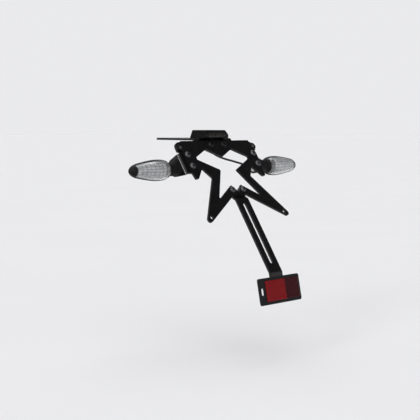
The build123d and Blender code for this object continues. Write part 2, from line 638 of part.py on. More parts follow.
rib_low = FOLD_RADIUS + LAMP_WALL
rib_face = Rectangle(LAMP_RIB_WIDTH, LAMP_LENS_RISE - rib_low, align=(Align.CENTER, Align.MIN))
ribs = Sketch() + [
    Pos((i - (LAMP_RIBS - 1) / 2) * LAMP_RIB_PITCH, rib_low) * rib_face for i in range(LAMP_RIBS)
]
lamp_lens = lens_strip(LAMP_LENS_WIDTH, 0) + extrude(rear_plane * ribs, LAMP_RIB_PROUD)
save("lamp_lens", lamp_lens)
holder_height = LAMP_HEIGHT - LAMP_WALL - LAMP_HOLDER_LIFT
lamp_holder = Pos(LEAD_X, lamp_y, LAMP_HOLDER_LIFT) * Box(
    LAMP_HOLDER_WIDTH, LAMP_HOLDER_DEPTH, holder_height, align=seat
)
save("lamp_bulb_holder", lamp_holder)
bulb_seat = Plane(
    origin=(LEAD_X, lamp_y - LAMP_HOLDER_DEPTH / 2, LAMP_HOLDER_LIFT + holder_height / 2), z_dir=(0, -1, 0)
)
lamp_bulb = Cylinder(LAMP_BULB_D / 2, LAMP_BULB_LENGTH, align=seat)
lamp_bulb = fillet(lamp_bulb.edges().sort_by(Axis.Z)[-1], LAMP_BULB_ROUND)
save("lamp_bulb", bulb_seat * lamp_bulb)
screw = Cylinder(LAMP_SCREW_HEAD_D / 2, LAMP_SCREW_HEAD_H, align=seat)
screw = fillet(screw.edges().sort_by(Axis.Z)[0], LAMP_SCREW_HEAD_H / 2)
screw_rise = BRACKET_SHEET + LAMP_SCREW_LENGTH - LENS_CLEARANCE
screw += Pos(0, 0, LAMP_SCREW_HEAD_H) * Cylinder(LAMP_SCREW_D / 2 - LENS_CLEARANCE, screw_rise, align=seat)
screw_level = -BRACKET_SHEET - LAMP_SCREW_HEAD_H
save("lamp_screws", *[place * Pos(0, 0, screw_level) * screw for place in lamp_places])

# Grommet in the flange, and the lead from the right indicator up to the lamp
grommet_bore = LEAD_D + 2 * GROMMET_CLEARANCE
grommet_d = GROMMET_HOLE_D - 2 * GROMMET_CLEARANCE
grommet = Pos(0, 0, -BRACKET_SHEET) * ring(grommet_d, grommet_bore, BRACKET_SHEET)
grommet += ring(GROMMET_LIP_D, grommet_bore, GROMMET_LIP)
grommet += Pos(0, 0, -BRACKET_SHEET - GROMMET_LIP) * ring(GROMMET_LIP_D, grommet_bore, GROMMET_LIP)
save("lead_grommet", Pos(LEAD_X, lamp_y) * grommet)
lead_start = stem_plane.from_local_coords(Vector(0, 0, stud_base))
lead_end = Vector(LEAD_X, lamp_y, LAMP_HOLDER_LIFT)
lead_turn = Vector(LEAD_X, lamp_y, LEAD_TURN_UP)
lead_route = [lead_start, *[Vector(*place) for place in LEAD_WAY], lead_turn, lead_end]
lead_runs = [b - a for a, b in zip(lead_route, lead_route[1:])]
lead_bends = zip(lead_runs, lead_runs[1:])
lead_radii = [
    LEAD_BEND_SHARE * min(a.length, b.length) / tan(radians(a.get_angle(b)) / 2) for a, b in lead_bends
]
lead_path = FilletPolyline(*lead_route, radius=lead_radii)
lead = sweep(Plane(origin=lead_path @ 0, z_dir=lead_path % 0) * Circle(LEAD_D / 2), path=lead_path)
print("lead radii", [round(radius, 1) for radius in lead_radii])
save("right_indicator_lead", lead)
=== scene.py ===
"""Looks of a motorcycle tail tidy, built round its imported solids."""

import json
import logging
import math
from collections import defaultdict
from collections.abc import Callable
from dataclasses import dataclass, field
from enum import Enum

import bmesh
import bpy
from mathutils import Matrix, Vector


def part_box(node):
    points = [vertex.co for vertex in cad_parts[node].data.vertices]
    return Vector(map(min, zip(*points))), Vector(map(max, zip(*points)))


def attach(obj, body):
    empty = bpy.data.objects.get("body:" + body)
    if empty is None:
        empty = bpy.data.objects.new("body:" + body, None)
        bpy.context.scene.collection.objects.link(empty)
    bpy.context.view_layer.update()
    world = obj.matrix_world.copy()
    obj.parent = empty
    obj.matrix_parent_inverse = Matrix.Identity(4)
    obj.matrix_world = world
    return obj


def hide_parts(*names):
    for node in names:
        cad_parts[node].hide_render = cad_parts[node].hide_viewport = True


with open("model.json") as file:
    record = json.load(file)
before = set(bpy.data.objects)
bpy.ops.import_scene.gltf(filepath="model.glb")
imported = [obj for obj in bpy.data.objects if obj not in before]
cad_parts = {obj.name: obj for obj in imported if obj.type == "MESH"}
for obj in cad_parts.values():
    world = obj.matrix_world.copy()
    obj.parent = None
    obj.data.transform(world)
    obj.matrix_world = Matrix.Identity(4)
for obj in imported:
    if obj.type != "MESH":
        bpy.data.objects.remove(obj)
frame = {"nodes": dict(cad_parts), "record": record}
log = logging.getLogger("tail_tidy")

MM = 0.001
ROOT = "root"
HEX_SIDES = 6

# Points nearer than this are one point; points within the second gap of a height are on it.
MERGE_GAP = 0.004 * MM
LEVEL_GAP = 0.01 * MM
# Least cosine between a face and the way it faces, and between an edge and the way it runs.
FACING = 0.9
RUNNING = 0.99

# Digits that an X in metres is rounded to, and reach of a station, of the step to the next.
X_DIGITS = 5
STATION_REACH = 0.6

# Sockets of a colour mix node, and octaves of a noise.
MIX_SHARE, MIX_FIRST, MIX_SECOND, MIX_RESULT = 0, 6, 7, 2
OCTAVES = 3.0

# Rubbed edges: rays per softened edge, how far its normal turns, where it is patchy, most wear.
EDGE_SAMPLES = 6
RUB_TURN = (0.80, 0.98)
RUB_PATCH = (0.45, 0.75)
RUB_MOST = 0.8

Colour = tuple[float, float, float]
Point = tuple[float, float, float]
Socket = bpy.types.NodeSocket


class Side(Enum):
    """The two sides of the bike, with the sign of X on each."""

    LEFT = -1
    RIGHT = 1

    def node(self, piece: str) -> str:
        """Name of a piece on this side."""
        return f"{self.name.lower()}_{piece}"


class Slot(Enum):
    """Material slots of the record."""

    PAINT = "black_paint"
    BOLT = "bolt_steel"
    STEEL = "plain_steel"
    PLASTIC = "black_plastic"
    RED = "red_lens"
    LAMP_LENS = "lamp_lens"
    LAMP_BULB = "lamp_bulb"
    RUBBER = "rubber"
    LEAD = "lead_cover"
    CLEAR = "clear_lens"
    LINING = "bright_lining"
    AMBER = "amber_bulb"


class Pick(Enum):
    """What is selected in edit mode."""

    POINTS = "VERT"
    EDGES = "EDGE"
    FACES = "FACE"


class ShaderTree:
    """A node material under construction."""

    def __init__(self, name: str) -> None:
        """Start a material with an output and a principled shader.

        Args:
            name: Name of the material.
        """
        self.material = bpy.data.materials.new(name)
        self.material.use_nodes = True
        self.tree = self.material.node_tree
        self.tree.nodes.clear()
        output = self.add("ShaderNodeOutputMaterial")
        self.shader = self.add("ShaderNodeBsdfPrincipled")
        self.link(self.shader.outputs["BSDF"], output.inputs["Surface"])

    def add(self, kind: str, **inputs: float) -> bpy.types.Node:
        """Add a node.

        Args:
            kind: Blender's type name of the node.
            inputs: Values by socket name, with underscores for spaces.

        Returns:
            The new node.
        """
        node = self.tree.nodes.new(kind)
        for key, value in inputs.items():
            node.inputs[key.replace("_", " ")].default_value = value
        return node

    def link(self, source: Socket, target: Socket) -> None:
        """Join two sockets."""
        self.tree.links.new(source, target)

    def place(self) -> Socket:
        """Object coordinates as a socket."""
        return self.add("ShaderNodeTexCoord").outputs["Object"]

    def noise(self, scale: float) -> Socket:
        """Noise over the object's coordinates.

        Args:
            scale: Waves per metre.

        Returns:
            The noise value socket.
        """
        node = self.add("ShaderNodeTexNoise", Scale=scale, Detail=OCTAVES)
        self.link(self.place(), node.inputs["Vector"])
        return node.outputs["Fac"]

    def spread(self, value: Socket, low: float, high: float,
               start: float = 0.3, end: float = 0.7) -> Socket:
        """A value mapped to a new range; the old one is that of noise if none is given.

        Args:
            value: The socket to map.
            low: Result at the start of the old range.
            high: Result at its end.
            start: Start of the old range.
            end: End of the old range.

        Returns:
            The mapped value socket.
        """
        node = self.add("ShaderNodeMapRange", From_Min=start, From_Max=end,
                        To_Min=low, To_Max=high)
        self.link(value, node.inputs["Value"])
        return node.outputs["Result"]

    def mix(self, share: Socket, first: Colour | Socket, second: Colour | Socket) -> Socket:
        """Two colours mixed.

        Args:
            share: Socket with the share of the second colour.
            first: A colour or a colour socket.
            second: A colour or a colour socket.

        Returns:
            The mixed colour socket.
        """
        node = self.add("ShaderNodeMix")
        node.data_type = "RGBA"
        self.link(share, node.inputs[MIX_SHARE])
        for index, colour in ((MIX_FIRST, first), (MIX_SECOND, second)):
            if isinstance(colour, tuple):
                node.inputs[index].default_value = (*colour, 1.0)
            else:
                self.link(colour, node.inputs[index])
        return node.outputs[MIX_RESULT]


@dataclass(frozen=True)
class Finish:
    """A surface finish: patchy colour and gloss over a fine grain.

    Args:
        name: Name of its material.
        dark: Colour of the darker patches.
        light: Colour of the lighter patches.
        rough: Lowest and highest roughness.
        metallic: Metallic share.
        specular: Specular level.
        transmission: Share of light let through.
        ior: Refractive index.
        coat: Weight of a clear coat.
        coat_rough: Roughness of that coat.
        patch: Patches per metre.
        grain: Grain waves per metre.
        bump: Strength of the grain's relief.
        relief: Depth of the grain in metres.
        edge: Radius that edges are softened to, in metres.
        worn: Colour that shows on worn edges, where they wear.
    """

    name: str
    dark: Colour
    light: Colour
    rough: tuple[float, float]
    metallic: float = 0.0
    specular: float = 0.5
    transmission: float = 0.0
    ior: float = 1.5
    coat: float = 0.0
    coat_rough: float = 0.1
    patch: float = 70.0
    grain: float = 1600.0
    bump: float = 0.1
    relief: float = 0.08 * MM
    edge: float = 0.0
    worn: Colour | None = None

    def material(self) -> bpy.types.Material:
        """The finish as a node material, made once and shared."""
        made = bpy.data.materials.get(self.name)
        return made if made else self.draw(ShaderTree(self.name))

    def draw(self, tree: ShaderTree) -> bpy.types.Material:
        """Lay out the nodes of the finish.

        Args:
            tree: The material's tree.

        Returns:
            The finished material.
        """
        shader = tree.shader
        for socket, value in (
            ("Metallic", self.metallic),
            ("Specular IOR Level", self.specular),
            ("IOR", self.ior),
            ("Transmission Weight", self.transmission),
            ("Coat Weight", self.coat),
            ("Coat Roughness", self.coat_rough),
        ):
            shader.inputs[socket].default_value = value
        patch = tree.noise(self.patch)
        grain = tree.noise(self.grain)
        colour = self.colour(tree, tree.spread(patch, 0.0, 1.0))
        tree.link(tree.spread(grain, *self.rough), shader.inputs["Roughness"])
        bump = tree.add("ShaderNodeBump", Strength=self.bump, Distance=self.relief)
        tree.link(grain, bump.inputs["Height"])
        if self.edge:
            soft = tree.add("ShaderNodeBevel", Radius=self.edge)
            soft.samples = EDGE_SAMPLES
            tree.link(soft.outputs["Normal"], bump.inputs["Normal"])
            if self.worn:
                colour = tree.mix(self.edge_wear(tree, soft, patch), colour, self.worn)
        tree.link(colour, shader.inputs["Base Color"])
        tree.link(bump.outputs["Normal"], shader.inputs["Normal"])
        return tree.material

    def colour(self, tree: ShaderTree, patch: Socket) -> Socket:
        """The patchy base colour as a socket."""
        return tree.mix(patch, self.dark, self.light)

    @staticmethod
    def edge_wear(tree: ShaderTree, soft: bpy.types.Node, patch: Socket) -> Socket:
        """Where edges are rubbed.

        Args:
            tree: The material's tree.
            soft: Node with the softened normal.
            patch: Noise that breaks the wear up.

        Returns:
            A socket with the share of wear.
        """
        turn = tree.add("ShaderNodeVectorMath")
        turn.operation = "DOT_PRODUCT"
        tree.link(soft.outputs["Normal"], turn.inputs[0])
        tree.link(tree.add("ShaderNodeNewGeometry").outputs["Normal"], turn.inputs[1])
        rub = tree.add("ShaderNodeMath")
        rub.operation = "MULTIPLY"
        tree.link(tree.spread(turn.outputs["Value"], 1.0, 0.0, *RUB_TURN), rub.inputs[0])
        tree.link(tree.spread(patch, 0.0, RUB_MOST, *RUB_PATCH), rub.inputs[1])
        return rub.outputs["Value"]


@dataclass(frozen=True)
class PaintedShadeZoneFinish(Finish):
    """A reflector's finish: prisms turned two ways light up differently, and the zone beyond
    the line is painted dark as their shade.

    Args:
        split: X of the line between the zones, in metres.
        blend: Half the width of that line, in metres.
        dim: Colour of the zone beyond the line, a painted shade for prisms that send less light
            back.
    """

    split: float = 9.6 * MM
    blend: float = 0.4 * MM
    # Painted shade: the darker colour of the zone whose prisms send less light back.
    dim: Colour = (0.035, 0.003, 0.005)

    def colour(self, tree: ShaderTree, patch: Socket) -> Socket:
        """The two zones' colours as a socket, with the zone beyond the line in painted shade.

        Args:
            tree: The material's tree.
            patch: Socket with the share of the lighter patches.

        Returns:
            The colour socket.
        """
        parts = tree.add("ShaderNodeSeparateXYZ")
        tree.link(tree.place(), parts.inputs["Vector"])
        start, end = self.split - self.blend, self.split + self.blend
        # Share of painted shade, from none before the split line to full beyond it.
        beyond = tree.spread(parts.outputs["X"], 0.0, 1.0, start, end)
        return tree.mix(beyond, super().colour(tree, patch), self.dim)


@dataclass(frozen=True)
class PaintedGrooveShadeFinish(Finish):
    """Moulded prisms: a pale grey body, part own colour and part painted sheen, with painted
    shade in the grooves.

    Args:
        groove: Colour of the painted shade at the bottom of the grooves.
        mark: Mesh attribute with the share of painted shade, one in the grooves.
        reach: Values of the mark where the painted shade starts and where it is full.
    """

    groove: Colour = (0.05, 0.05, 0.053)
    mark: str = "groove"
    reach: tuple[float, float] = (0.1, 0.8)

    def colour(self, tree: ShaderTree, patch: Socket) -> Socket:
        """The body's colour, with painted shade in the grooves, as a socket.

        Args:
            tree: The material's tree.
            patch: Socket with the share of the lighter patches.

        Returns:
            The colour socket.
        """
        mark = tree.add("ShaderNodeAttribute")
        mark.attribute_name = self.mark
        # Painted shade: the body colour darkens towards the groove colour where the mark is
        # high.
        depth = tree.spread(mark.outputs["Fac"], 0.0, 1.0, *self.reach)
        return tree.mix(depth, super().colour(tree, patch), self.groove)


FINISHES: dict[Slot, Finish] = {
    Slot.PAINT: Finish(
        "black_powder_coat", (0.0015, 0.0015, 0.0018), (0.004, 0.004, 0.0044), (0.34, 0.48),
        specular=0.03, coat=0.6, grain=900.0, edge=0.5 * MM, worn=(0.04, 0.04, 0.041),
    ),
    Slot.BOLT: Finish(
        "dark_zinc_bolts", (0.06, 0.06, 0.063), (0.11, 0.11, 0.115), (0.32, 0.5),
        metallic=1.0, patch=300.0, grain=2600.0, edge=0.2 * MM, worn=(0.2, 0.2, 0.2),
    ),
    Slot.STEEL: Finish(
        "zinc_plate", (0.42, 0.42, 0.43), (0.62, 0.61, 0.58), (0.25, 0.45),
        metallic=1.0, patch=220.0, grain=2200.0, edge=0.2 * MM,
    ),
    Slot.PLASTIC: Finish(
        "grained_black_plastic", (0.002, 0.002, 0.0023), (0.005, 0.005, 0.0054), (0.34, 0.50),
        specular=0.15, bump=0.25, grain=2400.0, edge=0.4 * MM,
    ),
    # The red lens's zone beyond the split line is painted shade.
    Slot.RED: PaintedShadeZoneFinish(
        "red_prism_lens", (0.14, 0.003, 0.005), (0.21, 0.006, 0.008), (0.12, 0.25),
        specular=0.12, patch=420.0, bump=0.05,
    ),
    Slot.LAMP_LENS: Finish(
        "smoky_ribbed_lens", (0.018, 0.016, 0.014), (0.036, 0.031, 0.028), (0.12, 0.25),
        specular=0.12, transmission=0.35, ior=1.49, patch=200.0, bump=0.05,
    ),
    Slot.LAMP_BULB: Finish(
        "clear_bulb_glass", (0.88, 0.89, 0.88), (0.95, 0.95, 0.94), (0.02, 0.06),
        transmission=0.9, bump=0.01,
    ),
    Slot.RUBBER: Finish(
        "moulded_rubber", (0.003, 0.003, 0.003), (0.007, 0.007, 0.0068), (0.55, 0.75),
        specular=0.12, bump=0.3, grain=3000.0,
    ),
    Slot.LEAD: Finish(
        "lead_sleeve", (0.008, 0.008, 0.008), (0.016, 0.016, 0.016), (0.4, 0.6), bump=0.2,
    ),
    Slot.CLEAR: Finish(
        "clear_prism_lens", (0.86, 0.88, 0.89), (0.95, 0.96, 0.96), (0.02, 0.08),
        transmission=0.92, ior=1.49, patch=150.0, bump=0.02,
    ),
    Slot.LINING: Finish(
        "metallised_lining", (0.70, 0.71, 0.72), (0.86, 0.86, 0.87), (0.12, 0.25),
        metallic=1.0, patch=120.0, bump=0.05,
    ),
    Slot.AMBER: Finish(
        "amber_bulb_glass", (0.70, 0.33, 0.06), (0.80, 0.42, 0.10), (0.05, 0.12),
        transmission=0.7, bump=0.02,
    ),
}
# Pale grey body, partly the prisms' own colour and partly a painted sheen of the bright lining
# behind them; the grooves carry painted shade.
FROSTED_SHEEN_AND_GROOVE_SHADE = PaintedGrooveShadeFinish(
    "frosted_prisms_sheen_and_groove_shade", (0.42, 0.425, 0.43), (0.95, 0.95, 0.95), (0.14, 0.28),
    specular=0.6, transmission=0.08, ior=1.49, patch=220.0, bump=0.03,
)
DULL = Finish(
    "dull_zinc", (0.16, 0.16, 0.165), (0.26, 0.26, 0.255), (0.35, 0.55),
    metallic=1.0, patch=300.0,
)
# The top bolts get a darker finish than the other bolts.
DARK_TOP_BOLT_FINISH = Finish(
    "dark_top_bolts", (0.014, 0.014, 0.015), (0.032, 0.032, 0.034), (0.35, 0.5),
    metallic=1.0, patch=300.0, grain=2600.0, edge=0.2 * MM,
)
OWN_FINISHES: dict[str, Finish] = {"top_bolts": DARK_TOP_BOLT_FINISH}


def frame_at(origin: Vector, x_axis: Vector, y_axis: Vector, z_axis: Vector) -> Matrix:
    """A frame from its origin in metres and its three axes."""
    turn = Matrix((x_axis, y_axis, z_axis)).transposed()
    return Matrix.Translation(origin) @ turn.to_4x4()


def frame_facing(origin: Vector, out: Vector) -> Matrix:
    """A frame from its origin in metres and its Z axis, with X to the bike's right."""
    right = Vector((1.0, 0.0, 0.0))
    return frame_at(origin, right, out.cross(right), out)


class Workbench:
    """Object-mode and edit-mode steps that every piece uses."""

    @staticmethod
    def only(*pieces: bpy.types.Object) -> None:
        """Select just these objects, with the first active.

        Args:
            pieces: The objects.
        """
        bpy.ops.object.select_all(action="DESELECT")
        for piece in pieces:
            piece.select_set(True)
        bpy.context.view_layer.objects.active = pieces[0]

    @staticmethod
    def named(name: str) -> bpy.types.Object:
        """Name the object that was just added and return it.

        Args:
            name: Its name.

        Returns:
            The object.
        """
        piece = bpy.context.object
        piece.name = name
        piece.data.name = name
        return piece

    @staticmethod
    def rod(name: str, sides: int, radius: float, length: float,
            ends: str = "NGON") -> bpy.types.Object:
        """Add an upright rod round the origin.

        Args:
            name: Name of the object.
            sides: Number of its sides.
            radius: Radius over its corners in metres.
            length: Length in metres.
            ends: Blender's name for how the ends are filled.

        Returns:
            The new object.
        """
        bpy.ops.object.select_all(action="DESELECT")
        bpy.ops.mesh.primitive_cylinder_add(
            vertices=sides, radius=radius, depth=length, end_fill_type=ends
        )
        return Workbench.named(name)

    @staticmethod
    def trace(name: str, points: list[Vector]) -> bpy.types.Object:
        """Draw a line by extruding one point from place to place, and stay in edit mode.

        Args:
            name: Name of the object.
            points: The places in metres.

        Returns:
            The new object.
        """
        bpy.ops.object.select_all(action="DESELECT")
        bpy.ops.mesh.primitive_plane_add(size=MM)
        piece = Workbench.named(name)
        bpy.ops.object.mode_set(mode="EDIT")
        bpy.ops.mesh.select_mode(type=Pick.POINTS.value)
        bpy.ops.mesh.select_all(action="SELECT")
        bpy.ops.mesh.merge(type="CENTER")
        bpy.ops.transform.translate(value=points[0])
        for here, there in zip(points, points[1:]):
            bpy.ops.mesh.extrude_vertices_move(TRANSFORM_OT_translate={"value": there - here})
        return piece

    @staticmethod
    def pick(piece: bpy.types.Object, kind: Pick, test: Callable[..., bool]) -> None:
        """Select just the points, edges or faces that pass a test.

        Args:
            piece: The object, in edit mode.
            kind: What is selected.
            test: Says of one point, edge or face whether it is picked.
        """
        bpy.ops.mesh.select_mode(type=kind.value)
        bpy.ops.mesh.select_all(action="DESELECT")
        mesh = bmesh.from_edit_mesh(piece.data)
        parts = {Pick.POINTS: mesh.verts, Pick.EDGES: mesh.edges, Pick.FACES: mesh.faces}
        for part in parts[kind]:
            if test(part):
                part.select_set(True)
        bmesh.update_edit_mesh(piece.data)

    @staticmethod
    def settle(piece: bpy.types.Object, place: Matrix | None = None) -> None:
        """Put a piece in its place and write the place into its mesh.

        Args:
            piece: The object.
            place: Frame of the piece in the part, if it isn't there yet.
        """
        if place is not None:
            piece.matrix_world = place @ piece.matrix_world
        Workbench.only(piece)
        bpy.ops.object.transform_apply(location=True, rotation=True, scale=True)

    @staticmethod
    def apply(piece: bpy.types.Object, kind: str, **settings: object) -> None:
        """Add a modifier and apply it.

        Args:
            piece: The object.
            kind: Blender's type name of the modifier.
            settings: Values of the modifier's properties.
        """
        Workbench.only(piece)
        modifier = piece.modifiers.new(kind.lower(), kind)
        for key, value in settings.items():
            setattr(modifier, key, value)
        bpy.ops.object.modifier_apply(modifier=modifier.name)

    @staticmethod
    def cut(piece: bpy.types.Object, operation: str, tool: bpy.types.Object) -> None:
        """Cut a piece with another one, which is used up.

        Args:
            piece: The object.
            operation: Blender's name of the boolean operation.
            tool: The object that cuts.
        """
        Workbench.apply(piece, "BOOLEAN", operation=operation, object=tool, solver="EXACT")
        bpy.data.objects.remove(tool)

    @staticmethod
    def clean(piece: bpy.types.Object) -> None:
        """Merge doubled points and turn every face outwards.

        Args:
            piece: The object.
        """
        Workbench.only(piece)
        bpy.ops.object.mode_set(mode="EDIT")
        bpy.ops.mesh.select_all(action="SELECT")
        bpy.ops.mesh.remove_doubles(threshold=MERGE_GAP)
        bpy.ops.mesh.normals_make_consistent(inside=False)
        bpy.ops.object.mode_set(mode="OBJECT")

    @staticmethod
    def repeat(pattern: bpy.types.Object, places: list[Matrix], name: str) -> bpy.types.Object:
        """Copy a pattern to every place as one piece, and drop the pattern.

        Args:
            pattern: The object to copy, in its own frame.
            places: Frame of each copy.
            name: Name of the piece.

        Returns:
            The piece.
        """
        copies = []
        for place in places:
            copy = pattern.copy()
            copy.data = pattern.data.copy()
            bpy.context.collection.objects.link(copy)
            Workbench.settle(copy, place)
            copies.append(copy)
        bpy.data.objects.remove(pattern)
        Workbench.only(*copies)
        if len(copies) > 1:
            bpy.ops.object.join()
        group = Workbench.named(name)
        Workbench.clean(group)
        return group

    @staticmethod
    def dress(piece: bpy.types.Object, slot: Slot, angle: float = 35.0,
              finish: Finish | None = None) -> bpy.types.Object:
        """Give a new piece its finish and its body.

        Args:
            piece: The object.
            slot: Record slot that it belongs to.
            angle: Edges flatter than this are shaded smooth, in degrees.
            finish: Finish other than the slot's own.

        Returns:
            The same object.
        """
        if piece.type == "MESH":
            Workbench.only(piece)
            bpy.ops.object.shade_smooth_by_angle(angle=math.radians(angle))
        piece.data.materials.clear()
        piece.data.materials.append((finish or FINISHES[slot]).material())
        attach(piece, ROOT)
        log.info("piece %s in %s", piece.name, slot.value)
        return piece


@dataclass(frozen=True)
class NumberPlatePlane:
    """The sloping plane of the number plate, from which most places are measured.

    Args:
        tilt: Lean from upright in degrees.
        setback: Distance behind the tail bolts in millimetres.
        drop: Distance below the flange in millimetres.
    """

    tilt: float = 33.0
    setback: float = 58.0
    drop: float = 11.5

    def down(self) -> Vector:
        """Direction down the plate."""
        lean = math.radians(self.tilt)
        return Vector((0.0, -math.sin(lean), -math.cos(lean)))

    def outward(self) -> Vector:
        """Direction off the plate's rear face."""
        lean = math.radians(self.tilt)
        return Vector((0.0, -math.cos(lean), math.sin(lean)))

    def point(self, x: float, v: float, w: float = 0.0) -> Vector:
        """A point in metres.

        Args:
            x: Millimetres to the right.
            v: Millimetres down the plate from its top holes.
            w: Millimetres off its rear face.

        Returns:
            The point in the part's frame.
        """
        start = Vector((x, -self.setback, -self.drop))
        return (start + self.down() * v + self.outward() * w) * MM

    def place(self, x: float, v: float, w: float) -> Matrix:
        """Frame at a plate point, with X to the right and Z off the rear face."""
        return frame_facing(self.point(x, v, w), self.outward())


@dataclass(frozen=True)
class NutSize:
    """Sizes of a hexagon nut.

    Args:
        across: Width over the flats in millimetres.
        height: Height in millimetres.
        bore: Bore in millimetres.
    """

    across: float
    height: float
    bore: float


SHEET_NUT = NutSize(across=8.0, height=4.0, bore=5.0)
STALK_NUT = NutSize(across=13.0, height=5.0, bore=8.0)


@dataclass
class HexNuts:
    """Hexagon nuts with turned faces, in place of the plain ones.

    Args:
        name: Name of the new piece.
        replaced: Node that the piece stands for.
        size: Sizes of one nut.
        places: Frame of each nut's upper face.
        corner_cut: Slope of the turned corners in degrees.
        face_share: Radius of the flat face, of half the width over the flats.
        stock_share: Radius of the turned blank, of that of the hexagon's corners.
        blank_sides: Sides of that blank.
        drill_sides: Sides of the drill.
        bore_clearance: Clearance round the bolt in millimetres.
    """

    name: str
    replaced: str
    size: NutSize
    places: list[Matrix]
    corner_cut: float = 30.0
    face_share: float = 0.97
    stock_share: float = 1.05
    blank_sides: int = 48
    drill_sides: int = 32
    bore_clearance: float = 0.02

    def corner(self) -> float:
        """Radius over the hexagon's corners in metres."""
        return self.size.across / 2 * MM / math.cos(math.pi / HEX_SIDES)

    def blank(self) -> bpy.types.Object:
        """The turned blank whose cones trim the hexagon's corners.

        Returns:
            The blank, round the origin.
        """
        wide = self.corner() * self.stock_share
        narrow = self.size.across / 2 * MM * self.face_share
        rise = (wide - narrow) * math.tan(math.radians(self.corner_cut))
        length = self.size.height * MM - 2 * rise
        blank = Workbench.rod(f"{self.name}_blank", self.blank_sides, wide, length)
        bpy.ops.object.mode_set(mode="EDIT")
        for sign in (1.0, -1.0):
            Workbench.pick(blank, Pick.FACES, lambda face: face.normal.z * sign > FACING)
            bpy.ops.mesh.extrude_region_move(
                TRANSFORM_OT_translate={"value": (0.0, 0.0, sign * rise)}
            )
            bpy.ops.transform.resize(value=(narrow / wide, narrow / wide, 1.0))
        bpy.ops.object.mode_set(mode="OBJECT")
        return blank

    def nut(self) -> bpy.types.Object:
        """One nut with its upper face on the local origin.

        Returns:
            The nut.
        """
        height = self.size.height * MM
        nut = Workbench.rod(f"{self.name}_one", HEX_SIDES, self.corner(), height)
        Workbench.cut(nut, "INTERSECT", self.blank())
        bore = (self.size.bore / 2 + self.bore_clearance) * MM
        drill = Workbench.rod(f"{self.name}_drill", self.drill_sides, bore, 2 * height)
        Workbench.cut(nut, "DIFFERENCE", drill)
        Workbench.settle(nut, Matrix.Translation((0.0, 0.0, -height / 2)))
        return nut

    def build(self) -> bpy.types.Object:
        """Model one nut, copy it to every place and dress the group.

        Returns:
            The group as one piece.
        """
        group = Workbench.repeat(self.nut(), self.places, self.name)
        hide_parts(self.replaced)
        return Workbench.dress(group, Slot.STEEL, angle=25.0)


@dataclass
class SheetNuts:
    """The nuts that hold the sheets together, all lengths in millimetres.

    Args:
        plane: The number plate's plane.
        sheets: Thickness of the sheets that a bolt goes through.
        side_x: Distance of the side bolts from the middle.
        side_rows: Places of the side bolts down the plate.
        top_x: Distance of the top bolts from the middle.
        top_v: Place of the top bolts down the plate.
        arm_x: Distance of the arm's bolts from the middle.
        arm_v: Place of the arm's bolts down the plate.
    """

    plane: NumberPlatePlane
    sheets: float = 6.0
    side_x: float = 67.5
    side_rows: tuple[float, float] = (12.4, 30.2)
    top_x: float = 13.0
    top_v: float = -3.3
    arm_x: float = 10.9
    arm_v: float = 70.3

    def build(self) -> None:
        """Model the nuts of each joint as one piece."""
        spots = {
            "side": [(side.value * self.side_x, v) for side in Side for v in self.side_rows],
            "top": [(side.value * self.top_x, self.top_v) for side in Side],
            "arm": [(side.value * self.arm_x, self.arm_v) for side in Side],
        }
        for name, points in spots.items():
            places = [self.plane.place(x, v, -self.sheets) for x, v in points]
            HexNuts(f"{name}_hex_nuts", f"{name}_nuts", SHEET_NUT, places).build()


@dataclass
class HoleSleeves:
    """Thin metal sleeves that line the number plate's top holes, in millimetres.

    Args:
        plane: The number plate's plane.
        x: Distance of the holes from the middle.
        v: Their place down the plate.
        radius: Outer radius.
        wall: Wall.
        length: Length.
        recess: Depth of the near end below the rear face.
        sides: Number of sides of a sleeve.
    """

    plane: NumberPlatePlane
    x: float = 75.0
    v: float = 0.0
    radius: float = 2.74
    wall: float = 0.08
    length: float = 5.6
    recess: float = 0.2
    sides: int = 40

    def build(self) -> bpy.types.Object:
        """Model one sleeve, copy it to both holes and dress the pair.

        Returns:
            The pair as one piece.
        """
        radius, length = self.radius * MM, self.length * MM
        sleeve = Workbench.rod("hole_sleeve_one", self.sides, radius, length, ends="NOTHING")
        Workbench.clean(sleeve)
        Workbench.apply(sleeve, "SOLIDIFY", thickness=self.wall * MM, offset=-1.0)
        middle = -(self.recess + self.length / 2)
        places = [self.plane.place(side.value * self.x, self.v, middle) for side in Side]
        pair = Workbench.repeat(sleeve, places, "hole_sleeves")
        return Workbench.dress(pair, Slot.STEEL, finish=DULL)


